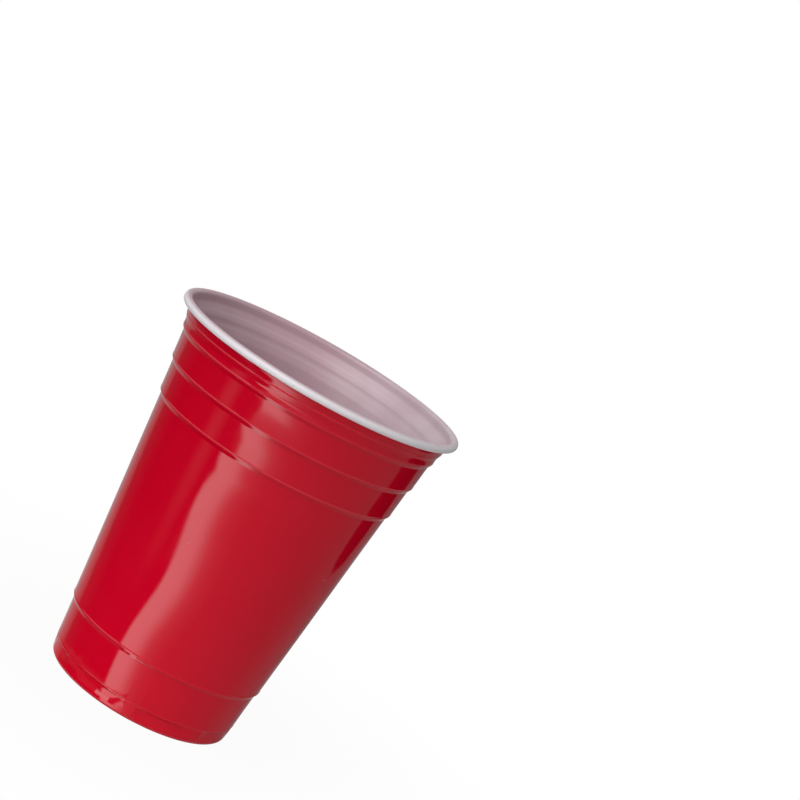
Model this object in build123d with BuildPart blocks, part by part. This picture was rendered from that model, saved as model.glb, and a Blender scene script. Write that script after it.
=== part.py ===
from build123d import *
import os
from math import cos, radians, sin, tan

# Plastic party cup, thermoformed in one piece from a thin polystyrene sheet.
# Millimetres, +Z up, origin at the middle of the foot, on the surface it stands on.

# Overall size
height = 118.0
rim_diameter = 95.0
wall = 0.42
draft = 5.64  # degrees, half angle of the tapered panel
panel_base_radius = 30.8  # where the tapered panel would reach the ground

# Bands. Each sits proud of the panel's cone by its own offset, and a short
# slanted step joins it to the next one.
band_step = 0.65
step_height = 1.3
step_levels = [18.1, 87.6, 98.1, 107.6]  # middle of each step, from the ground up
lower_band_inset = 0.5

# Foot ring. It is set in below the lower band, so that a nested cup stands on
# the shoulder inside, and it is a little wider at the ground than at its neck.
foot_radius = 30.3
neck_radius = 30.05
neck_level = 4.8
shoulder_level = 5.6
foot_round = 1.0
land_width = 3.0
riser_lean = 1.2
floor_level = 3.6
panel_radius = 19.0  # raised middle of the floor
panel_rise = 0.8
panel_lean = 1.5

# Stacking lugs: V-shaped ribs that carry the lower band down over the foot
# ring. Each has a flat face, wide at the top and narrow at the ground, and a
# flat flank on each side that runs out into the ring.
lug_count = 8
lug_bottom = 1.1
lug_top = 6.4
lug_face_bottom = 30.3  # distance of the face from the axis
lug_face_top = 30.9
lug_bottom_width = 2.4
lug_top_width = 5.0
lug_flank_angle = 11.3  # degrees from the lug's middle to the end of its flank
lug_flank_sink = 0.04  # how far inside the ring's outside the flank ends

# Rolled rim
bead_radius = 1.3
bead_turn = 300.0  # degrees that the lip is rolled through
flare_level = 111.0
flare_height = 3.9
flare_round = 3.0


half_wall = wall / 2


def cone(z, offset=0.0):
    """Middle of a band's sheet at height z, where its outside is offset from the cone."""
    outside = panel_base_radius + z * tan(radians(draft)) + offset
    return outside - half_wall


def step(level, below, above):
    """The two corners of the slanted step between two bands."""
    lower = level - step_height / 2
    upper = level + step_height / 2
    return [(cone(lower, below), lower), (cone(upper, above), upper)]


roll_radius = bead_radius - half_wall
roll_start = (rim_diameter / 2 - bead_radius - roll_radius, height - bead_radius)
riser_base = foot_radius - land_width
floor_radius = riser_base - riser_lean
floor_middle = floor_level + half_wall

offsets = [-lower_band_inset] + [band_step * n for n in range(len(step_levels))]

floor_corners = [
    (panel_radius, floor_middle + panel_rise),
    (panel_radius + panel_lean, floor_middle),
    (floor_radius, floor_middle),
]
foot_corners = [
    (riser_base, half_wall),
    (foot_radius - half_wall, half_wall),
]
side_corners = [
    (neck_radius - half_wall, neck_level),
    (cone(shoulder_level, offsets[0]), shoulder_level),
]
for level, below, above in zip(step_levels, offsets, offsets[1:]):
    side_corners += step(level, below, above)
side_corners.append((cone(flare_level, offsets[-1]), flare_level))
flare_end = (roll_start[0], flare_level + flare_height)
corners = floor_corners + foot_corners + side_corners + [flare_end]
rounds = [0] * len(floor_corners) + [foot_round] * len(foot_corners)
rounds += [0] * len(side_corners) + [flare_round]


def lug_outline(z, face, width, depth):
    """Section at height z of a lug that points along +X, drawn a depth below its outside."""
    ring = foot_radius + (neck_radius - foot_radius) * z / neck_level - lug_flank_sink
    flank_x = ring * cos(radians(lug_flank_angle)) - depth
    flank_y = ring * sin(radians(lug_flank_angle))
    face_x = face - depth
    face_y = width / 2
    Polygon(
        (flank_x, -flank_y),
        (face_x, -face_y),
        (face_x, face_y),
        (flank_x, flank_y),
        align=None,
    )


def lug_solid(depth):
    """A lug's outside, or its hollow when a depth of one sheet is given."""
    with BuildPart() as lug:
        with BuildSketch(Plane.XY.offset(lug_bottom)):
            lug_outline(lug_bottom, lug_face_bottom, lug_bottom_width, depth)
        with BuildSketch(Plane.XY.offset(lug_top)):
            lug_outline(lug_top, lug_face_top, lug_top_width, depth)
        loft()
    return lug.part


# All that lies within the middle of the sheet, up to the lugs' top. A lug's
# outside is trimmed to it, so that no part of the lug reaches into the cup.
with BuildPart() as core:
    with BuildSketch(Plane.XZ):
        with BuildLine():
            core_top = lug_top + 1
            core_edge = (cone(core_top, offsets[0]), core_top)
            Polyline((0, 0), foot_corners[-1], *side_corners[:2], core_edge, (0, core_top), close=True)
        make_face()
    revolve(axis=Axis.Z)

with BuildPart() as lug:
    add(lug_solid(0))
    add(core.part, mode=Mode.SUBTRACT)

lug_hollow = lug_solid(wall)

# The line runs along the middle of the sheet, from beyond the axis across the
# floor, round the foot and up the side to the end of the roll. What lies beyond
# the axis is split off.
with BuildPart() as cup:
    with BuildSketch(Plane.XZ) as section:
        with BuildLine() as sheet:
            across = (-panel_radius, floor_middle + panel_rise)
            side = FilletPolyline(across, *corners, roll_start, radius=rounds)
            JernArc(side @ 1, (0, 1), roll_radius, -bead_turn)
        trace(line_width=wall)
        split(bisect_by=Plane.YZ, keep=Keep.TOP)
    revolve(axis=Axis.Z)
    with PolarLocations(0, lug_count):
        add(lug.part)
    with PolarLocations(0, lug_count):
        add(lug_hollow, mode=Mode.SUBTRACT)

cup.part.label = "cup"

os.makedirs("parts", exist_ok=True)
export_step(cup.part, "parts/cup.step")
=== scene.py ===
import math
from functools import partial

import bpy
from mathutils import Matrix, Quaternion, Vector


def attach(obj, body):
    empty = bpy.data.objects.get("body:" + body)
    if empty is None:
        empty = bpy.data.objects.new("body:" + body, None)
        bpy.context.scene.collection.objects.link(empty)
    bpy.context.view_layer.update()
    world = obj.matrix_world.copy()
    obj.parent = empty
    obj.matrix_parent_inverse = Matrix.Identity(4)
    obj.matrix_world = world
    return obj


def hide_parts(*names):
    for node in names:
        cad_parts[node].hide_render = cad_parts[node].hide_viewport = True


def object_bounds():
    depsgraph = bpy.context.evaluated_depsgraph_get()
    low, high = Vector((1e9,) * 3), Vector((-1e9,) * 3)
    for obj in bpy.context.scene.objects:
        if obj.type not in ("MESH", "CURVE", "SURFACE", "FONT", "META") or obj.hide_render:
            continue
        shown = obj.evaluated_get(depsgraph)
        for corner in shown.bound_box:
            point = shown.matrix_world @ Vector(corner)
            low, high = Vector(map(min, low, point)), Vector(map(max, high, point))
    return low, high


# A plastic party cup, thermoformed from one two-layer sheet: red outside, white inside.
# Sizes are in millimetres and become metres where a mesh or a node takes them.

mm = 0.001
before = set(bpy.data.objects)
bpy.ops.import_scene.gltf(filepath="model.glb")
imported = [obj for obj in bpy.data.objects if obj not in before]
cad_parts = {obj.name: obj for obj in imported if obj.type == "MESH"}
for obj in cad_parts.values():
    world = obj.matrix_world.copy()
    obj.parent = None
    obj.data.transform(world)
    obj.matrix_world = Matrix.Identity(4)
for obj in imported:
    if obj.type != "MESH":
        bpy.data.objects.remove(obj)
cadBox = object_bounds()
print("frame loaded, CAD box", [round(v / mm, 1) for corner in cadBox for v in corner])


# The cup's sheet. Height and rim come from the CAD box, so the two always agree.
cup = {
    "height": cadBox[1].z / mm,
    "rimRadius": cadBox[1].x / mm,
    "wall": 0.42,
    "draft": 5.64,             # degrees, half angle of the tapered panel
    "panelBaseRadius": 30.8,   # where the panel's cone would reach the ground
    "bandStep": 0.65,          # how far each band stands proud of the one below
    "stepHeight": 1.3,
    "stepLevels": [18.7, 87.8, 98.5, 108.2],  # middle of each step, from the ground up
    "stepRound": 0.45,
    "innerStep": 3.8,          # height and rounding of the same steps inside the cup, where they are softer
    "crests": [0.15, 0.16, 0.07, 0.07, 0.07, 0.07],  # fine ridges at the shoulder, steps and flare
    "crestRun": 0.45,          # height over which a ridge dies away
    "crestRound": 0.3,
    "crestEndRound": 0.6,
    "crestReach": 0.7,         # points are closer together up to here from a crest
    "bendReach": 0.4,          # and the sheet counts as bent up to here, which is as far as the painted highlight lines reach
    "lowerBandInset": 0.5,
    "footRadius": 30.3,
    "neckRadius": 30.05,
    "neckLevel": 4.8,
    "neckRound": 0.3,
    "shoulderLevel": 5.6,
    "footRound": 1.0,
    "landWidth": 3.0,          # flat ring that the cup stands on
    "riserLean": 1.2,
    "floorLevel": 3.6,
    "floorRound": 0.5,
    "panelRadius": 19.0,       # raised middle of the floor
    "panelRise": 0.8,
    "panelLean": 1.5,
    "sideRadius": 28.3,        # the cup's side lies outside this, its floor and riser inside
    "flareLevel": 111.0,
    "flareHeight": 3.9,
    "flareRound": 3.0,
    "flareCrest": 1.6,         # height of the flare's own ridge above its start
    "beadRadius": 1.3,
    "beadTurn": 300.0,         # degrees that the lip is rolled through
    "beadStep": 12.0,          # degrees between two points of the roll
    "rimStart": 105.0,         # degrees of the roll past which the sheet is thick and whiter
    "rimFade": 45.0,           # and over which it turns so
    "arcStep": 11.0,           # degrees between two points of a rounding
    "longestRun": 6.0,         # between two points of a straight stretch
    "lugRun": 0.55,            # the same where the lugs are
    "columns": 288,            # mesh columns round the axis, 36 for each lug
    "mergeDistance": 0.0001,
    "allWhite": 0.75,          # a face with corners in both layers averages a half, and counts as red
}

# Stacking lugs: a flat V-shaped face and two flat flanks, pushed out of the foot ring.
lugs = {
    "count": 8,
    "bottom": 1.1,
    "top": 6.4,
    "faceBottom": 30.3,        # distance of the face from the axis
    "faceTop": 30.9,
    "halfWidthBottom": 1.2,
    "halfWidthTop": 2.5,
    "flankAngle": 11.3,        # degrees from the lug's middle to the flank's end
    "flankSink": 0.04,         # how far inside the ring's outside the flank ends
    "zoneTop": 7.5,            # nothing is pushed out above this
    "faceColumn": 4,           # mesh columns from the lug's middle to its face's edge
    "flankColumn": 9,          # and to its flank's end
    "creaseAngle": 4.0,        # degrees past which a lug's edge is kept crisp
    "creaseRise": 0.05,        # a flatter edge than this stays soft
}


def addNode(tree, kind, *values, **settings):
    # kind may be followed by an operation. Values fill the sockets in order and those in a
    # "sockets" setting fill them by name; a node stands for its first output.
    kind, *operation = kind.split()
    node = tree.nodes.new(kind)
    for word in operation:
        node.operation = word
    named = settings.pop("sockets", {})
    for name, value in settings.items():
        setattr(node, name, value)
    for key, value in [*enumerate(values), *named.items()]:
        if isinstance(value, bpy.types.Node):
            value = value.outputs[0]
        if isinstance(value, bpy.types.NodeSocket):
            tree.links.new(value, node.inputs[key])
        elif value is not None:
            node.inputs[key].default_value = value
    return node


def toLinear(hexColour):
    # sRGB hex, as a picture editor shows it, to the linear values that nodes take
    channels = [int(hexColour[n:n + 2], 16) / 255 for n in (1, 3, 5)]
    linear = [c / 12.92 if c <= 0.04045 else ((c + 0.055) / 1.055) ** 2.4 for c in channels]
    return (*linear, 1.0)


def turned(vector, angle):
    c = math.cos(angle)
    s = math.sin(angle)
    return Vector((vector.x * c - vector.y * s, vector.x * s + vector.y * c))


def roundedLine(corners, rounds, arcStep):
    # points (position, direction) along a line whose corners are rounded
    points = [(corners[0], (corners[1] - corners[0]).normalized())]
    for before, corner, after, rounding in zip(corners, corners[1:], corners[2:], rounds[1:]):
        arriving = (corner - before).normalized()
        leaving = (after - corner).normalized()
        turn = arriving.angle_signed(leaving)  # clockwise is positive
        reach = rounding * math.tan(abs(turn) / 2)
        arm = Vector((-arriving.y, arriving.x)) * math.copysign(rounding, turn)
        centre = corner - arriving * reach - arm
        pieces = max(2, math.ceil(abs(math.degrees(turn)) / arcStep))
        for k in range(pieces + 1):
            spin = -turn * k / pieces
            points.append((centre + turned(arm, spin), turned(arriving, spin)))
    points.append((corners[-1], (corners[-1] - corners[-2]).normalized()))
    return points


def spaced(points, longest):
    # adds points to the straight runs so that none is longer than a limit
    hair = 1e-6                # forgives rounding
    out = [points[0]]
    for (a, _), (b, direction) in zip(points, points[1:]):
        pieces = math.ceil((b - a).length / longest(a.lerp(b, 0.5)) - hair)
        for k in range(1, pieces):
            out.append((a.lerp(b, k / pieces), (b - a).normalized()))
        out.append((b, direction))
    return out


def cupSection(cup, lugs):
    # the closed outline of half the sheet's section, as (radius, height, marks). The marks are
    # the layer, 0 red and 1 white, how sharply the sheet was bent, and how near the rim it is.
    halfWall = cup["wall"] / 2
    slope = math.tan(math.radians(cup["draft"]))

    def cone(z, offset=0.0):
        return Vector((cup["panelBaseRadius"] + z * slope + offset - halfWall, z))

    rollRadius = cup["beadRadius"] - halfWall
    rollCentre = Vector((cup["rimRadius"] - cup["beadRadius"], cup["height"] - cup["beadRadius"]))
    riserBase = cup["footRadius"] - cup["landWidth"]
    floorMiddle = cup["floorLevel"] + halfWall
    tops = [cup["shoulderLevel"]] + [level + cup["stepHeight"] / 2 for level in cup["stepLevels"]]
    crests = tops + [cup["flareLevel"] + cup["flareCrest"]]

    # the raised middle of the floor, the floor, the riser, the foot ring and its neck
    lower = [
        Vector((0, floorMiddle + cup["panelRise"])),
        Vector((cup["panelRadius"], floorMiddle + cup["panelRise"])),
        Vector((cup["panelRadius"] + cup["panelLean"], floorMiddle)),
        Vector((riserBase - cup["riserLean"], floorMiddle)),
        Vector((riserBase, halfWall)),
        Vector((cup["footRadius"] - halfWall, halfWall)),
        Vector((cup["neckRadius"] - halfWall, cup["neckLevel"])),
    ]
    lowerRounds = [0] + [cup["floorRound"]] * 3 + [cup["footRound"]] * 2 + [cup["neckRound"]]
    flareEnd = Vector((rollCentre.x - rollRadius, cup["flareLevel"] + cup["flareHeight"]))

    def runLimit(spot):
        if lugs["bottom"] < spot.y < lugs["zoneTop"] and spot.x > cup["sideRadius"]:
            return cup["lugRun"]
        if min(abs(spot.y - level) for level in crests) < cup["crestReach"]:
            return cup["crestRun"]
        return cup["longestRun"]

    def sheetLine(stepHeight, stepRound, ridges):
        # the line of one layer: the lower part, then the bands, each with a crest where it begins
        corners = list(lower)
        rounds = list(lowerRounds)
        offset = -cup["lowerBandInset"]
        for n, top in enumerate(tops):
            if n:
                middle = top - cup["stepHeight"] / 2
                corners.append(cone(middle - stepHeight / 2, offset))
                rounds.append(stepRound)
                offset = cup["bandStep"] * (n - 1)
                top = middle + stepHeight / 2
            corners.append(cone(top, offset) + Vector((ridges[n], 0)))
            rounds.append(cup["crestRound"] if ridges[n] else stepRound)
            if ridges[n]:
                corners.append(cone(top + cup["crestRun"], offset))
                rounds.append(cup["crestEndRound"])

        # the flare has a crest too, and runs up into the roll
        corners.append(cone(cup["flareLevel"], offset))
        rounds.append(cup["flareRound"])
        if ridges[-1]:
            ridge = corners[-1].lerp(flareEnd, cup["flareCrest"] / cup["flareHeight"])
            ridge += Vector((ridges[-1], 0))
            corners += [ridge, ridge + Vector((-ridges[-1] / 2, cup["crestRun"]))]
            rounds += [cup["crestRound"], cup["crestEndRound"]]
        corners += [flareEnd, rollCentre - Vector((rollRadius, 0))]
        rounds += [cup["flareRound"], 0]

        side = []
        for spot, direction in spaced(roundedLine(corners, rounds, cup["arcStep"]), runLimit):
            near = min(abs(spot.y - level) for level in crests)
            bend = max(0.0, 1 - near / cup["bendReach"]) if spot.x > cup["sideRadius"] else 0.0
            side.append((spot, direction, bend, 0.0))

        # the lip rolls outward and down again
        pieces = math.ceil(cup["beadTurn"] / cup["beadStep"])
        for k in range(1, pieces + 1):
            degrees = cup["beadTurn"] * k / pieces
            spin = -math.radians(degrees)
            arm = turned(Vector((-rollRadius, 0)), spin)
            rim = min(max((degrees - cup["rimStart"]) / cup["rimFade"], 0.0), 1.0)
            side.append((rollCentre + arm, turned(Vector((0, 1)), spin), 0.0, rim))
        return side

    # the red layer lies to the right of the line, the white one to its left
    outline = []
    outerSide = sheetLine(cup["stepHeight"], cup["stepRound"], cup["crests"])
    innerSide = sheetLine(cup["innerStep"], cup["innerStep"], [0] * len(crests))
    for layer, side in enumerate((outerSide, innerSide)):
        face = []
        for spot, direction, bend, rim in side:
            out = Vector((-direction.y, direction.x)) * halfWall * (1 if layer else -1)
            face.append((max(spot.x + out.x, 0.0), spot.y + out.y, (layer, bend, rim)))
        outline += face[::-1] if layer else face
    return outline


def profileObject(name, outline):
    # the outline as a line of vertices at y = 0, with the marks as an attribute
    mesh = bpy.data.meshes.new(name)
    edges = [(n, n + 1) for n in range(len(outline) - 1)]
    mesh.from_pydata([(r * mm, 0, z * mm) for r, z, _ in outline], edges, [])
    marks = mesh.attributes.new("marks", "FLOAT_VECTOR", "POINT")
    marks.data.foreach_set("vector", [float(v) for _, _, mark in outline for v in mark])
    piece = bpy.data.objects.new(name, mesh)
    bpy.context.scene.collection.objects.link(piece)
    return piece


def revolveTree(cup, lugs):
    # turns the profile round the axis and pushes the lugs out of the foot ring
    tree = bpy.data.node_groups.new("Thermoformed cup", "GeometryNodeTree")
    sizes = {
        "Columns": cup["columns"],
        "Sheet": cup["wall"] * mm,
        "Side radius": cup["sideRadius"] * mm,
        "Merge distance": cup["mergeDistance"] * mm,
        "Lug count": lugs["count"],
        "Lug bottom": lugs["bottom"] * mm,
        "Lug top": lugs["top"] * mm,
        "Face bottom": lugs["faceBottom"] * mm,
        "Face top": lugs["faceTop"] * mm,
        "Half width bottom": lugs["halfWidthBottom"] * mm,
        "Half width top": lugs["halfWidthTop"] * mm,
        "Foot radius": (cup["footRadius"] - lugs["flankSink"]) * mm,
        "Neck radius": (cup["neckRadius"] - lugs["flankSink"]) * mm,
        "Neck level": cup["neckLevel"] * mm,
        "Flank angle": math.radians(lugs["flankAngle"]),
        "Zone top": lugs["zoneTop"] * mm,
        "Crease angle": math.radians(lugs["creaseAngle"]),
        "Crease rise": lugs["creaseRise"] * mm,
    }
    interface = tree.interface
    interface.new_socket(name="Profile", in_out="INPUT", socket_type="NodeSocketGeometry")
    for name, value in sizes.items():
        kind = "NodeSocketInt" if name == "Columns" else "NodeSocketFloat"
        interface.new_socket(name=name, in_out="INPUT", socket_type=kind).default_value = value
    for name in ("Red layer", "White layer"):
        interface.new_socket(name=name, in_out="INPUT", socket_type="NodeSocketMaterial")
    interface.new_socket(name="Cup", in_out="OUTPUT", socket_type="NodeSocketGeometry")

    add = partial(addNode, tree)
    group = add("NodeGroupInput").outputs
    profile = group["Profile"]

    # a grid with one row for each point of the profile
    points = add("GeometryNodeAttributeDomainSize", profile).outputs["Point Count"]
    columns = add("ShaderNodeMath ADD", group["Columns"], 1.0)
    grid = add("GeometryNodeMeshGrid", 1.0, 1.0, columns, points)
    place = add("GeometryNodeInputPosition")
    spot = add("ShaderNodeSeparateXYZ", place).outputs
    lastRow = add("ShaderNodeMath SUBTRACT", points, 1.0)
    upward = add("ShaderNodeMath ADD", spot["Y"], 0.5)
    row = add("ShaderNodeMath ROUND", add("ShaderNodeMath MULTIPLY", upward, lastRow))

    # the row's radius, height and marks come from the profile
    point = {"Geometry": profile, "Value": place, "Index": row}
    sample = add("GeometryNodeSampleIndex", sockets=point, data_type="FLOAT_VECTOR")
    drawn = add("ShaderNodeSeparateXYZ", sample).outputs
    stored = add("GeometryNodeInputNamedAttribute", "marks", data_type="FLOAT_VECTOR")
    point = {"Geometry": profile, "Value": stored, "Index": row}
    marks = add("GeometryNodeSampleIndex", sockets=point, data_type="FLOAT_VECTOR")
    layer = add("ShaderNodeSeparateXYZ", marks).outputs["X"]
    radius = drawn["X"]
    height = drawn["Z"]

    # which lug a column belongs to, and how far it is from the lug's middle, from -1 to 1
    around = add("ShaderNodeMath ADD", spot["X"], 0.5)
    turns = add("ShaderNodeMath MULTIPLY", around, group["Lug count"])
    lug = add("ShaderNodeMath ROUND", turns)
    across = add("ShaderNodeMath MULTIPLY", add("ShaderNodeMath SUBTRACT", turns, lug), 2.0)
    away = add("ShaderNodeMath ABSOLUTE", across)
    halfPitch = add("ShaderNodeMath DIVIDE", math.pi, group["Lug count"])

    # the lug's section at this height: the edge of its face and the end of its flank
    reach = (height, group["Lug bottom"], group["Lug top"])
    faceX = add("ShaderNodeMapRange", *reach, group["Face bottom"], group["Face top"])
    faceY = add("ShaderNodeMapRange", *reach, group["Half width bottom"], group["Half width top"])
    faceAngle = add("ShaderNodeMath ARCTAN2", faceY, faceX)
    ends = (height, 0.0, group["Neck level"], group["Foot radius"], group["Neck radius"])
    ring = add("ShaderNodeMapRange", *ends, clamp=False)
    endX = add("ShaderNodeMath MULTIPLY", ring, add("ShaderNodeMath COSINE", group["Flank angle"]))
    endY = add("ShaderNodeMath MULTIPLY", ring, add("ShaderNodeMath SINE", group["Flank angle"]))

    # two of the columns from a lug's middle to halfway to the next follow those two, all the way up
    halfColumns = cup["columns"] / lugs["count"] / 2
    faceShare = lugs["faceColumn"] / halfColumns
    flankShare = lugs["flankColumn"] / halfColumns
    slack = add("ShaderNodeMath SUBTRACT", group["Flank angle"], faceAngle)
    rest = add("ShaderNodeMath SUBTRACT", halfPitch, group["Flank angle"])
    onFace = add("ShaderNodeMapRange", away, 0.0, faceShare, 0.0, faceAngle)
    onFlank = add("ShaderNodeMapRange", away, faceShare, flankShare, 0.0, slack)
    between = add("ShaderNodeMapRange", away, flankShare, 1.0, 0.0, rest)
    onLug = add("ShaderNodeMath ADD", onFace, onFlank)
    angle = add("ShaderNodeMath ADD", onLug, between)
    turn = add("ShaderNodeMath MULTIPLY", angle, add("ShaderNodeMath SIGN", across))
    middle = add("ShaderNodeMath MULTIPLY", add("ShaderNodeMath MULTIPLY", lug, halfPitch), 2.0)
    azimuth = add("ShaderNodeMath ADD", turn, middle)

    # distance of the lug's surface from the axis, on its face and on its flank
    depth = add("ShaderNodeMath MULTIPLY", layer, group["Sheet"])
    faceIn = add("ShaderNodeMath SUBTRACT", faceX, depth)
    flatFace = add("ShaderNodeMath DIVIDE", faceIn, add("ShaderNodeMath COSINE", angle))
    fall = add("ShaderNodeMath SUBTRACT", faceX, endX)
    lean = add("ShaderNodeMath ARCTAN2", fall, add("ShaderNodeMath SUBTRACT", endY, faceY))
    along = add("ShaderNodeMath MULTIPLY", faceX, add("ShaderNodeMath COSINE", lean))
    aside = add("ShaderNodeMath MULTIPLY", faceY, add("ShaderNodeMath SINE", lean))
    plane = add("ShaderNodeMath SUBTRACT", add("ShaderNodeMath ADD", along, aside), depth)
    slant = add("ShaderNodeMath COSINE", add("ShaderNodeMath SUBTRACT", angle, lean))
    flatFlank = add("ShaderNodeMath DIVIDE", plane, slant)
    lugRadius = add("ShaderNodeMath MINIMUM", flatFace, flatFlank)

    # it ends half a column past its flanks, and lies below the top of the zone, on the cup's side
    onLugs = add("ShaderNodeMath LESS_THAN", away, (lugs["flankColumn"] + 0.5) / halfColumns)
    inZone = add("ShaderNodeMath LESS_THAN", height, group["Zone top"])
    aboveFoot = add("ShaderNodeMath GREATER_THAN", height, group["Lug bottom"])
    onSide = add("ShaderNodeMath GREATER_THAN", radius, group["Side radius"])
    where = add("ShaderNodeMath MULTIPLY", add("ShaderNodeMath MULTIPLY", inZone, aboveFoot), onSide)
    where = add("ShaderNodeMath MULTIPLY", where, onLugs)
    pushed = add("ShaderNodeMath MULTIPLY", where, lugRadius)
    finalRadius = add("ShaderNodeMath MAXIMUM", radius, pushed)

    x = add("ShaderNodeMath MULTIPLY", finalRadius, add("ShaderNodeMath COSINE", azimuth))
    y = add("ShaderNodeMath MULTIPLY", finalRadius, add("ShaderNodeMath SINE", azimuth))
    target = add("ShaderNodeCombineXYZ", x, y, height)
    tagged = {"Geometry": grid, "Name": "marks", "Value": marks}
    shape = add("GeometryNodeStoreNamedAttribute", sockets=tagged, data_type="FLOAT_VECTOR", domain="POINT")
    shape = add("GeometryNodeSetPosition", sockets={"Geometry": shape, "Position": target})
    merged = {"Geometry": shape, "Distance": group["Merge distance"]}
    shape = add("GeometryNodeMergeByDistance", sockets=merged)

    # smooth, with crisp edges down the lugs' faces and flanks
    shape = add("GeometryNodeSetShadeSmooth", shape, domain="FACE")
    edge = add("GeometryNodeInputMeshEdgeVertices").outputs
    run = add("ShaderNodeVectorMath SUBTRACT", edge["Position 1"], edge["Position 2"])
    rise = add("ShaderNodeMath ABSOLUTE", add("ShaderNodeSeparateXYZ", run).outputs["Z"])
    upright = add("ShaderNodeMath GREATER_THAN", rise, group["Crease rise"])
    level = add("ShaderNodeSeparateXYZ", edge["Position 1"]).outputs["Z"]
    low = add("ShaderNodeMath LESS_THAN", level, group["Zone top"])
    bend = add("GeometryNodeInputMeshEdgeAngle").outputs["Unsigned Angle"]
    sharp = add("ShaderNodeMath GREATER_THAN", bend, group["Crease angle"])
    crease = add("ShaderNodeMath MULTIPLY", add("ShaderNodeMath MULTIPLY", upright, low), sharp)
    crisp = {"Geometry": shape, "Selection": crease, "Shade Smooth": False}
    shape = add("GeometryNodeSetShadeSmooth", sockets=crisp, domain="EDGE")

    shape = add("GeometryNodeRealizeInstances", shape)
    stored = add("GeometryNodeInputNamedAttribute", "marks", data_type="FLOAT_VECTOR")
    layer = add("ShaderNodeSeparateXYZ", stored).outputs["X"]
    isWhite = add("ShaderNodeMath GREATER_THAN", layer, cup["allWhite"])
    painted = {"Geometry": shape, "Material": group["Red layer"]}
    shape = add("GeometryNodeSetMaterial", sockets=painted)
    painted = {"Geometry": shape, "Selection": isWhite, "Material": group["White layer"]}
    shape = add("GeometryNodeSetMaterial", sockets=painted)
    add("NodeGroupOutput", shape)
    return tree


def applyTree(piece, tree, choices):
    # runs the tree on the piece and keeps the result as its plain mesh
    modifier = piece.modifiers.new("Form", "NODES")
    modifier.node_group = tree
    for item in tree.interface.items_tree:
        if item.name in choices:
            modifier[item.identifier] = choices[item.name]
    graph = bpy.context.evaluated_depsgraph_get()
    mesh = bpy.data.meshes.new_from_object(piece.evaluated_get(graph), depsgraph=graph)
    piece.modifiers.remove(modifier)
    piece.data = mesh


styreneIor = 1.59
noiseSpread = (0.3, 0.7)       # most of a noise texture's values lie between these


def styrene(name):
    material = bpy.data.materials.new(name)
    material.use_nodes = True
    skin = material.node_tree.nodes["Principled BSDF"]
    skin.inputs["IOR"].default_value = styreneIor
    return material, material.node_tree, skin


red = {
    "colour": "#CE0224",
    "thick": "#B5011E",        # darker red: in slow streaks where the sheet stayed thicker, and toward the rim as painted shade
    # painted shade: heights between which the red darkens toward the rim
    "paintedShadeHeights": (15.0, 110.0),
    "paintedShadeShares": (-0.1, 0.6),     # how much of it is mixed in at those two heights
    "streakShare": 0.4,
    "streakSize": 26.0,
    "streakStretch": 4.0,      # how many times longer than wide
    "bend": "#DC3F50",         # painted highlight: paler along the sharp bends, where the steps catch light
    "paintedHighlightShare": 0.12,
    "speck": "#E9A3AA",
    "speckShare": 0.6,
    "speckSpacing": 8.0,
    "speckSize": 0.26,         # radius; real dust is finer, this is as fine as shows
    "speckCore": 0.4,          # share of the radius that doesn't fade
    "speckRarity": 0.72,       # share of the places that have none
    "speckDull": 0.3,
    "scratchSize": 0.35,       # hairlines from stacking, drawn coarser than real ones
    "scratchLength": 22.0,
    "scratchFrom": (0.68, 0.76),    # noise values at which one begins and is complete
    "scratchDull": 0.10,
    "waveSize": 19.0,          # slow unevenness of a sheet drawn into a mould
    "waveHeight": 0.045,
    "peelSize": 1.3,
    "peelHeight": 0.0022,
    "roughness": (0.06, 0.11),
    "patchSize": 14.0,
}


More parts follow.
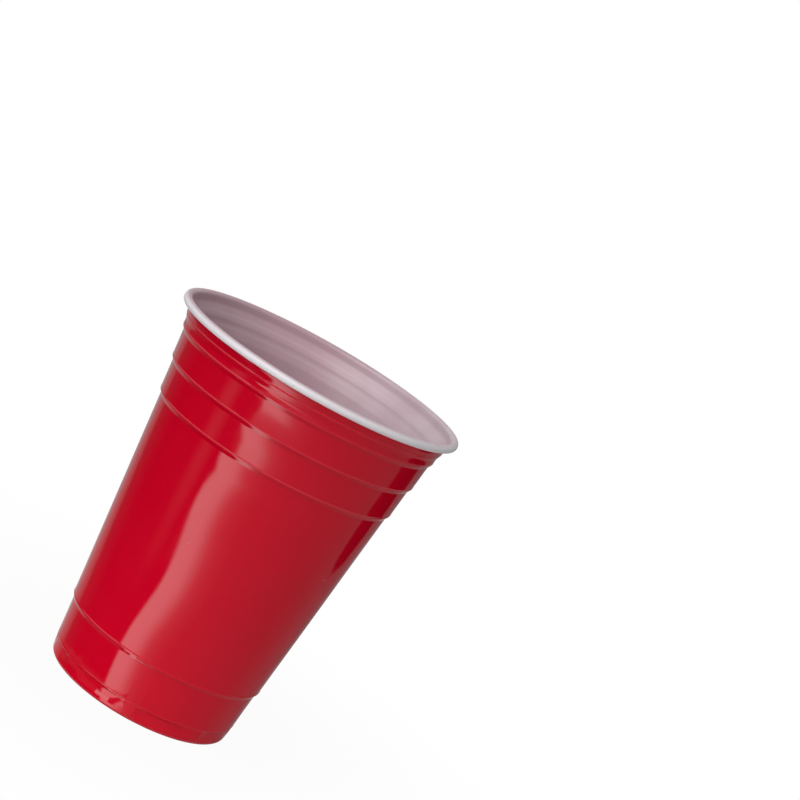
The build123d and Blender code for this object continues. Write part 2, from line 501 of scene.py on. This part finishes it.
def redLayer(red):
    # polystyrene, glossy: it cooled against the mould's polished side, so it mirrors like
    # lacquer, with a faint slow wave in the reflections; its pale lines along the bends are painted
    # highlights, and its darkening toward the rim is painted shade
    material, tree, skin = styrene("Thermoformed polystyrene, red outer layer")
    add = partial(addNode, tree)
    spot = add("ShaderNodeTexCoord").outputs["Object"]
    stored = add("ShaderNodeAttribute", attribute_name="marks").outputs["Vector"]
    bent = add("ShaderNodeSeparateXYZ", stored).outputs["Y"]

    # colour: slow streaks of thickness, painted shade that darkens it toward the rim, painted highlights
    # that pale it along the bends, and a few specks
    upright = add("ShaderNodeMapping", spot, sockets={"Scale": (1, 1, 1 / red["streakStretch"])})
    slow = {"Scale": 1 / (red["streakSize"] * mm), "Detail": 2.0}
    streak = add("ShaderNodeTexNoise", upright, sockets=slow)
    streak = add("ShaderNodeMath MULTIPLY", streak, red["streakShare"])
    climb = add("ShaderNodeSeparateXYZ", spot).outputs["Z"]
    # painted shade: darker with height, standing in for the light from below that fades toward the rim
    low, high = red["paintedShadeHeights"]
    paintedShadeUpward = add("ShaderNodeMapRange", climb, low * mm, high * mm, *red["paintedShadeShares"])
    streaksAndPaintedShade = add("ShaderNodeMath ADD", streak, paintedShadeUpward)
    colours = {0: streaksAndPaintedShade, 6: toLinear(red["colour"]), 7: toLinear(red["thick"])}
    withPaintedShade = add("ShaderNodeMix", sockets=colours, data_type="RGBA").outputs[2]
    # painted highlight: pale lines along the bends
    pale = add("ShaderNodeMath MULTIPLY", bent, red["paintedHighlightShare"])
    colours = {6: withPaintedShade, 7: toLinear(red["bend"])}
    withPaintedHighlights = add("ShaderNodeMix", pale, sockets=colours, data_type="RGBA").outputs[2]
    cells = add("ShaderNodeTexVoronoi", spot, sockets={"Scale": 1 / (red["speckSpacing"] * mm)}).outputs
    size = red["speckSize"] / red["speckSpacing"]
    core = red["speckCore"] * size
    dot = add("ShaderNodeMapRange", cells["Distance"], size, core, 0.0, red["speckShare"])
    lot = add("ShaderNodeSeparateXYZ", cells["Color"])
    chosen = add("ShaderNodeMath GREATER_THAN", lot, red["speckRarity"])
    speck = add("ShaderNodeMath MULTIPLY", dot, chosen)
    colours = {6: withPaintedHighlights, 7: toLinear(red["speck"])}
    colour = add("ShaderNodeMix", speck, sockets=colours, data_type="RGBA").outputs[2]
    tree.links.new(colour, skin.inputs["Base Color"])

    # roughness: slow patches, and upright hairlines from being stacked
    patch = add("ShaderNodeTexNoise", spot, sockets={"Scale": 1 / (red["patchSize"] * mm), "Detail": 3.0})
    gloss = add("ShaderNodeMapRange", patch, *noiseSpread, *red["roughness"])
    thin = red["scratchSize"] / red["scratchLength"]
    upright = add("ShaderNodeMapping", spot, sockets={"Scale": (1, 1, thin)})
    fine = {"Scale": 1 / (red["scratchSize"] * mm), "Detail": 1.0}
    lines = add("ShaderNodeTexNoise", upright, sockets=fine)
    hairline = add("ShaderNodeMapRange", lines, *red["scratchFrom"], 0.0, red["scratchDull"])
    worn = add("ShaderNodeMath ADD", gloss, hairline)
    dusty = add("ShaderNodeMath MULTIPLY", speck, red["speckDull"])
    dulled = add("ShaderNodeMath ADD", worn, dusty)
    tree.links.new(dulled.outputs[0], skin.inputs["Roughness"])

    # relief: the slow wave of the drawn sheet, then the fine grain of its skin
    wave = add("ShaderNodeTexNoise", spot, sockets={"Scale": 1 / (red["waveSize"] * mm), "Detail": 0.0})
    relief = {"Height": wave, "Distance": red["waveHeight"] * mm}
    waved = add("ShaderNodeBump", sockets=relief)
    peel = add("ShaderNodeTexNoise", spot, sockets={"Scale": 1 / (red["peelSize"] * mm), "Detail": 1.0})
    relief = {"Height": peel, "Distance": red["peelHeight"] * mm, "Normal": waved}
    grained = add("ShaderNodeBump", sockets=relief)
    tree.links.new(grained.outputs[0], skin.inputs["Normal"])
    return material


white = {
    "thin": "#BC9AA3",         # painted shade and red bounce light: the darker, pinker tone of the cup's left side
    # the tone on the right, where the painted shade is gone
    "thick": "#CBB8C0",
    "paintedShadeSide": (0.0, 40.0),   # places on the X axis where the painted shade is whole and where it is gone
    "deep": "#A98992",         # far down
    "deepest": 30.0,           # the height at which it is all that colour
    "highest": 100.0,          # and at which it has none of it
    "rim": "#D8D4D8",          # the roll, where the sheet kept its full thickness
    # painted highlight: thin pale lines along the bends
    "bend": "#CBBBC1",
    "paintedHighlightShare": 0.5,
    "cloud": "#AF929C",
    "cloudSize": 9.0,
    "cloudFrom": (0.4, 0.75),  # noise values at which a cloud begins and is complete
    "cloudShare": 0.35,
    "waveSize": 19.0,
    "waveHeight": 0.045,
    "grainSize": 0.9,
    "grainHeight": 0.003,
    "roughness": (0.37, 0.47),
    "patchSize": 11.0,
}


def whiteLayer(white):
    # the same sheet's inner layer: never touched the mould, so it is only half glossy, milky
    # and a little cloudy, pink where it was drawn thin and clean white at the rim, with painted shade and
    # red bounce light on its left and painted highlight lines along the bends
    material, tree, skin = styrene("Thermoformed polystyrene, white inner layer")
    add = partial(addNode, tree)
    spot = add("ShaderNodeTexCoord").outputs["Object"]
    stored = add("ShaderNodeAttribute", attribute_name="marks").outputs["Vector"]
    marks = add("ShaderNodeSeparateXYZ", stored).outputs

    # colour: pinker further down, painted shade and red bounce light to the left, clouded, painted
    # highlights paler at the bends, white on the roll
    place = add("ShaderNodeSeparateXYZ", spot).outputs
    # painted shade and red bounce light: darker and pinker toward the left
    left, right = white["paintedShadeSide"]
    across = add("ShaderNodeMapRange", place["X"], left * mm, right * mm, 0.0, 1.0)
    colours = {6: toLinear(white["thin"]), 7: toLinear(white["thick"])}
    withPaintedShade = add("ShaderNodeMix", across, sockets=colours, data_type="RGBA").outputs[2]
    ends = (white["deepest"] * mm, white["highest"] * mm)
    upper = add("ShaderNodeMapRange", place["Z"], *ends, 0.0, 1.0)
    colours = {6: toLinear(white["deep"]), 7: withPaintedShade}
    withPaintedShade = add("ShaderNodeMix", upper, sockets=colours, data_type="RGBA").outputs[2]
    cloud = add("ShaderNodeTexNoise", spot, sockets={"Scale": 1 / (white["cloudSize"] * mm), "Detail": 3.0})
    misty = add("ShaderNodeMapRange", cloud, *white["cloudFrom"], 0.0, white["cloudShare"])
    colours = {6: withPaintedShade, 7: toLinear(white["cloud"])}
    clouded = add("ShaderNodeMix", misty, sockets=colours, data_type="RGBA").outputs[2]
    # painted highlight: paler along the bends
    pale = add("ShaderNodeMath MULTIPLY", marks["Y"], white["paintedHighlightShare"])
    colours = {6: clouded, 7: toLinear(white["bend"])}
    withPaintedHighlights = add("ShaderNodeMix", pale, sockets=colours, data_type="RGBA").outputs[2]
    colours = {6: withPaintedHighlights, 7: toLinear(white["rim"])}
    colour = add("ShaderNodeMix", marks["Z"], sockets=colours, data_type="RGBA").outputs[2]
    tree.links.new(colour, skin.inputs["Base Color"])

    # roughness in slow patches
    patch = add("ShaderNodeTexNoise", spot, sockets={"Scale": 1 / (white["patchSize"] * mm), "Detail": 3.0})
    gloss = add("ShaderNodeMapRange", patch, *noiseSpread, *white["roughness"])
    tree.links.new(gloss.outputs[0], skin.inputs["Roughness"])

    # relief: the slow wave again, and the open side's fine grain
    wave = add("ShaderNodeTexNoise", spot, sockets={"Scale": 1 / (white["waveSize"] * mm), "Detail": 0.0})
    waved = add("ShaderNodeBump", sockets={"Height": wave, "Distance": white["waveHeight"] * mm})
    grain = add("ShaderNodeTexNoise", spot, sockets={"Scale": 1 / (white["grainSize"] * mm), "Detail": 2.0})
    relief = {"Height": grain, "Distance": white["grainHeight"] * mm, "Normal": waved}
    grained = add("ShaderNodeBump", sockets=relief)
    tree.links.new(grained.outputs[0], skin.inputs["Normal"])
    return material


outline = cupSection(cup, lugs)
print("section drawn with", len(outline), "points")
body = profileObject("party_cup", outline)
choices = {"Red layer": redLayer(red), "White layer": whiteLayer(white)}
applyTree(body, revolveTree(cup, lugs), choices)
print("cup formed:", len(body.data.vertices), "vertices,", len(body.data.polygons), "faces")

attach(body, "root")
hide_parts("cup")


# The view. The camera is rolled, so that the cup leans to the right in the picture.
camera = {
    "place": (0.0, -745.98, 240.48),
    "aim": (25.11, 0.0, 120.46),
    "roll": 30.07,             # degrees
    "lens": 111.95,
    "sensor": 36.0,
    "farthest": 20.0,          # metres that it sees
}


def makeCamera(camera):
    data = bpy.data.cameras.new("Camera")
    data.lens = camera["lens"]
    data.sensor_width = camera["sensor"]
    data.clip_end = camera["farthest"]
    viewer = bpy.data.objects.new("Camera", data)
    bpy.context.scene.collection.objects.link(viewer)
    place = Vector(camera["place"]) * mm
    look = (Vector(camera["aim"]) * mm - place).normalized()
    level = look.to_track_quat("-Z", "Y")
    viewer.rotation_mode = "QUATERNION"
    viewer.rotation_quaternion = Quaternion(look, math.radians(-camera["roll"])) @ level
    viewer.location = place
    bpy.context.scene.camera = viewer


# A pale board under a white surround, and two soft lamps.
studio = {
    "boardRadius": 1500.0,
    "boardSides": 64,
    "holeRadius": 28.0,        # open under the foot, so that light reaches the underside
    "board": "#EEECEA",
    "boardNear": 40.0,         # the board's shading shows most up to here
    "boardFar": 170.0,         # and has faded into the white surround here
    "boardShade": 0.95,        # white that is mixed in where it shows most
    "surroundLight": 0.30,     # what the surround gives the cup
    "keyPlace": (-560.0, -900.0, 700.0),
    "keySize": (1150.0, 1150.0),
    "keyPower": 12.2,
    "fillPlace": (1000.0, -600.0, 220.0),
    "fillSize": (900.0, 360.0),
    "fillPower": 1.4,
}


def makeLamp(name, place, sizes, power, shines=True):
    # a lamp that doesn't shine lights the cup, but isn't mirrored in its gloss
    data = bpy.data.lights.new(name, "AREA")
    data.shape = "RECTANGLE"
    data.size = sizes[0] * mm
    data.size_y = sizes[1] * mm
    data.energy = power
    lamp = bpy.data.objects.new(name, data)
    bpy.context.scene.collection.objects.link(lamp)
    lamp.location = Vector(place) * mm
    lamp.visible_glossy = shines
    look = Vector((0, 0, cup["height"] / 2 * mm)) - lamp.location
    lamp.rotation_mode = "QUATERNION"
    lamp.rotation_quaternion = look.to_track_quat("-Z", "Y")


def bareMaterial(name):
    # a material whose only node is its output
    material = bpy.data.materials.new(name)
    material.use_nodes = True
    tree = material.node_tree
    tree.nodes.remove(tree.nodes["Principled BSDF"])
    return material, tree, tree.nodes["Material Output"].inputs["Surface"]


def studioPiece(name, points, faces, material):
    mesh = bpy.data.meshes.new(name)
    mesh.from_pydata(points, [], faces)
    mesh.materials.append(material)
    piece = bpy.data.objects.new(name, mesh)
    bpy.context.scene.collection.objects.link(piece)
    return piece


def makeBoard(studio):
    # matt and pale. The camera sees it fade into the white surround, and sees through its underside.
    material, tree, surface = bareMaterial("Painted board, pale and matt")
    add = partial(addNode, tree)
    matt = add("ShaderNodeBsdfDiffuse", toLinear(studio["board"]))
    glow = add("ShaderNodeEmission", (1, 1, 1, 1), 1.0)
    clear = add("ShaderNodeBsdfTransparent")
    far = add("ShaderNodeVectorMath LENGTH", add("ShaderNodeTexCoord").outputs["Object"]).outputs["Value"]
    ends = (studio["boardNear"] * mm, studio["boardFar"] * mm, studio["boardShade"], 1.0)
    fade = add("ShaderNodeMapRange", far, *ends)
    path = add("ShaderNodeLightPath").outputs
    share = add("ShaderNodeMath MULTIPLY", path["Is Camera Ray"], fade)
    lit = add("ShaderNodeMixShader", share, matt, glow)
    below = add("ShaderNodeNewGeometry").outputs["Backfacing"]
    seen = add("ShaderNodeMixShader", below, lit, clear)
    tree.links.new(seen.outputs[0], surface)

    sides = studio["boardSides"]
    hole = Vector((studio["holeRadius"] * mm, 0))
    inner = [turned(hole, math.tau * k / sides) for k in range(sides)]
    outer = [corner * studio["boardRadius"] / studio["holeRadius"] for corner in inner]
    faces = [(k, k + sides, (k + 1) % sides + sides, (k + 1) % sides) for k in range(sides)]
    studioPiece("board", [(corner.x, corner.y, 0) for corner in inner + outer], faces, material)


def makeSurround(studio):
    world = bpy.data.worlds.new("Surround")
    bpy.context.scene.world = world
    world.use_nodes = True
    tree = world.node_tree
    add = partial(addNode, tree)
    path = add("ShaderNodeLightPath").outputs
    seen = add("ShaderNodeMath MAXIMUM", path["Is Camera Ray"], path["Is Glossy Ray"])
    seen = add("ShaderNodeMath MAXIMUM", seen, path["Is Transmission Ray"])
    strength = add("ShaderNodeMapRange", seen, 0.0, 1.0, studio["surroundLight"], 1.0)
    tree.links.new(strength.outputs[0], tree.nodes["Background"].inputs["Strength"])
    tree.nodes["Background"].inputs["Color"].default_value = (1, 1, 1, 1)


# Reflection card: a sheet that lies on the board, glows though it is no lamp, and shows only as a reflection
# in the gloss; its tones are painted reflections: the bright band, the patch, the second band and the dark
# wedge.
# It is laid out by the part of the wall that mirrors it to the camera: azimuth in degrees from the
# middle of the view, to the right, and height in millimetres.
card = {
    "azimuths": (-86, 86, 2),  # the first, the last and the step
    "heights": [0, 3, 6, 15, 30, 50, 66, 80, 95, 118],
    "lift": 0.3,
    "brightest": 2.3,
    "rampReach": 90.0,         # degrees that the tones may run to either side
    "tones": [                 # azimuth, brightness
        (-84, 0.64), (-80, 0.45), (-72, 0.38), (-65, 0.22), (-64, 0.07), (-56, 0.03), (-50, 0.0),
        (-19.3, 0.0), (-18, 2.25), (-12, 2.1), (-10, 1.88), (-8, 1.39), (-6, 0.87), (-4, 0.52),
        (0, 0.30), (6, 0.18), (46, 0.17), (60, 0.19), (70, 0.155), (80, 0.21), (84, 0.43),
    ],
    "wave": 2.0,               # degrees that the tones swing to either side
    "wavePeriod": 52.0,
    "waveStart": 20.0,
    "drift": (76, 96, 0.0, -3.5),      # and then away to the right over these heights
    "edgeDrift": (20, 75, -3.0, 1.5),  # the same for the pale left edge
    "edgeReach": (-45, -30, 0.0, 1.0),
    "bandEnd": (97, 104),      # heights over which the bright band stops
    "above": 0.3,              # brightest tone over it
    # each window has two ends and how softly they fade
    "footGlow": (2.8, 7.5, 0.4),    # heights between which a least tone is kept
    "footTone": 0.12,
    "flank": (-12.6, -3.0, 0.3),    # near darkness there, which a lug's flank mirrors
    "flankRise": (2.9, 6.8, 0.4),
    "flankTone": 0.04,
    "patch": (-21.8, -12.8, 0.2),   # a bright patch that the foot ring mirrors
    "patchRise": (3.4, 6.0, 0.3),
    "patchTone": 2.7,
    "ghost": (-28.0, 5.5),     # a faint second band, its middle and half width
    "ghostRise": (35, 103, 0.0, 0.28),  # two heights, and what it adds at each
    "wedge": 61.7,             # middle of a dark wedge at the right, which widens upward
    "wedgeStart": (66, 71),    # heights over which it opens
    "wedgeWidth": (72, 93, 4.6, 7.8),   # two heights, and its half width at each
    "wedgeSoft": 0.8,
}


def mirrored(azimuth, height):
    # where on the board the camera's ray lands that the wall turns back at this place
    draft = math.radians(cup["draft"])
    outward = turned(Vector((0, -1)), math.radians(azimuth)).to_3d()
    radius = cup["panelBaseRadius"] + height * math.tan(draft)
    spot = outward * radius + Vector((0, 0, height))
    normal = outward * math.cos(draft) - Vector((0, 0, math.sin(draft)))
    ray = (spot - Vector(camera["place"])).normalized().reflect(normal)
    return spot - ray * (spot.z / ray.z)


def cardMaterial(card):
    material, tree, surface = bareMaterial("Glowing card, painted reflections")
    add = partial(addNode, tree)
    stored = add("ShaderNodeAttribute", attribute_name="mirror").outputs["Vector"]
    spot = add("ShaderNodeSeparateXYZ", stored).outputs
    azimuth = spot["X"]
    height = spot["Y"]

    # tones from left to right, swinging a little on the way up
    climb = add("ShaderNodeMath SUBTRACT", height, card["waveStart"])
    phase = add("ShaderNodeMath MULTIPLY", climb, math.tau / card["wavePeriod"])
    swing = add("ShaderNodeMath MULTIPLY", add("ShaderNodeMath COSINE", phase), card["wave"])
    swing = add("ShaderNodeMath ADD", swing, add("ShaderNodeMapRange", height, *card["drift"]))
    edge = add("ShaderNodeMapRange", height, *card["edgeDrift"])
    inner = add("ShaderNodeMapRange", azimuth, *card["edgeReach"])
    shift = add("ShaderNodeMix", inner, sockets={2: edge, 3: swing})
    swung = add("ShaderNodeMath ADD", azimuth, shift)
    reach = card["rampReach"]
    ramp = add("ShaderNodeValToRGB", add("ShaderNodeMapRange", swung, -reach, reach, 0.0, 1.0))
    stops = ramp.color_ramp.elements
    stops.remove(stops[1])
    for n, (where, tone) in enumerate(card["tones"]):
        along = (where + reach) / (2 * reach)
        stop = stops.new(along) if n else stops[0]
        stop.color = (*[tone / card["brightest"]] * 3, 1)
        stop.position = along
    tone = add("ShaderNodeMath MULTIPLY", ramp, card["brightest"])
    limit = add("ShaderNodeMapRange", height, *card["bandEnd"], card["brightest"], card["above"])
    tone = add("ShaderNodeMath MINIMUM", tone, limit)

    # the faint second band
    middle, width = card["ghost"]
    away = add("ShaderNodeMath ABSOLUTE", add("ShaderNodeMath SUBTRACT", azimuth, middle))
    ghost = add("ShaderNodeMapRange", away, 0.0, width, 1.0, 0.0, interpolation_type="SMOOTHSTEP")
    risen = add("ShaderNodeMapRange", height, *card["ghostRise"])
    tone = add("ShaderNodeMath ADD", tone, add("ShaderNodeMath MULTIPLY", ghost, risen))

    # the dark wedge
    opening = add("ShaderNodeMapRange", height, *card["wedgeStart"], 0.0, 1.0)
    width = add("ShaderNodeMapRange", height, *card["wedgeWidth"])
    width = add("ShaderNodeMath MULTIPLY", width, opening)
    away = add("ShaderNodeMath ABSOLUTE", add("ShaderNodeMath SUBTRACT", azimuth, card["wedge"]))
    beyond = add("ShaderNodeMath SUBTRACT", away, width)
    outside = add("ShaderNodeMapRange", beyond, -card["wedgeSoft"], 0.0, 0.0, 1.0)
    tone = add("ShaderNodeMath MULTIPLY", tone, outside)

    # close to the foot: a least tone, darkness that a lug's flank mirrors, and the bright patch
    def window(place, first, last, soft):
        # 1 between two ends, 0 beyond them
        middle = (first + last) / 2
        half = last - middle
        away = add("ShaderNodeMath ABSOLUTE", add("ShaderNodeMath SUBTRACT", place, middle))
        return add("ShaderNodeMapRange", away, half - soft, half + soft, 1.0, 0.0)

    least = add("ShaderNodeMath MULTIPLY", window(height, *card["footGlow"]), card["footTone"])
    tone = add("ShaderNodeMath MAXIMUM", tone, least)
    aside = window(azimuth, *card["flank"])
    flank = add("ShaderNodeMath MULTIPLY", aside, window(height, *card["flankRise"]))
    dark = add("ShaderNodeMapRange", flank, 0.0, 1.0, 1.0, card["flankTone"])
    tone = add("ShaderNodeMath MULTIPLY", tone, dark)
    aside = window(azimuth, *card["patch"])
    patch = add("ShaderNodeMath MULTIPLY", aside, window(height, *card["patchRise"]))
    bright = add("ShaderNodeMath MULTIPLY", patch, card["patchTone"])
    tone = add("ShaderNodeMath MAXIMUM", tone, bright)
    # the tones glow, though the card is no lamp: painted reflections
    glow = add("ShaderNodeEmission", (1, 1, 1, 1), tone)
    tree.links.new(glow.outputs[0], surface)
    return material


def showOnlyInGloss(piece):
    for ray in ("camera", "diffuse", "transmission", "volume_scatter", "shadow"):
        setattr(piece, "visible_" + ray, False)


def makeCard(card):
    first, last, step = card["azimuths"]
    places = [(a, h) for h in card["heights"] for a in range(first, last + 1, step)]
    spots = [mirrored(*place) * mm for place in places]
    wide = len(places) // len(card["heights"])
    starts = [n for n in range(len(places) - wide) if (n + 1) % wide]
    faces = [(n, n + wide, n + wide + 1, n + 1) for n in starts]
    points = [(spot.x, spot.y, card["lift"] * mm) for spot in spots]
    piece = studioPiece("card", points, faces, cardMaterial(card))
    mirror = piece.data.attributes.new("mirror", "FLOAT_VECTOR", "POINT")
    mirror.data.foreach_set("vector", [float(v) for azimuth, height in places for v in (azimuth, height, 0)])
    showOnlyInGloss(piece)


# A second card, a sheet that glows dimly though it is no lamp, stands round the right of the board as a
# painted dark reflection, so that the fine crests shine only at the left.
screen = {
    "radius": 700.0,
    "height": 230.0,
    "arc": (-132, 104, 4),     # degrees round the cup: the first, the last and the step
    "tone": 0.16,
}


def makeScreen(screen):
    material, tree, surface = bareMaterial("Grey card, dimly glowing")
    # a dim glow, seen only in the gloss: a painted dark reflection
    glow = addNode(tree, "ShaderNodeEmission", (1, 1, 1, 1), screen["tone"])
    tree.links.new(glow.outputs[0], surface)
    first, last, step = screen["arc"]
    points = []
    for angle in range(first, last + 1, step):
        spot = turned(Vector((screen["radius"] * mm, 0)), math.radians(angle))
        points += [(spot.x, spot.y, 0), (spot.x, spot.y, screen["height"] * mm)]
    faces = [(n, n + 2, n + 3, n + 1) for n in range(0, len(points) - 2, 2)]
    showOnlyInGloss(studioPiece("screen", points, faces, material))


makeSurround(studio)
makeBoard(studio)
makeCard(card)
makeScreen(screen)
makeLamp("key", studio["keyPlace"], studio["keySize"], studio["keyPower"])
makeLamp("fill", studio["fillPlace"], studio["fillSize"], studio["fillPower"], shines=False)
makeCamera(camera)
bpy.context.scene.view_settings.view_transform = "Standard"
print("studio and camera set")
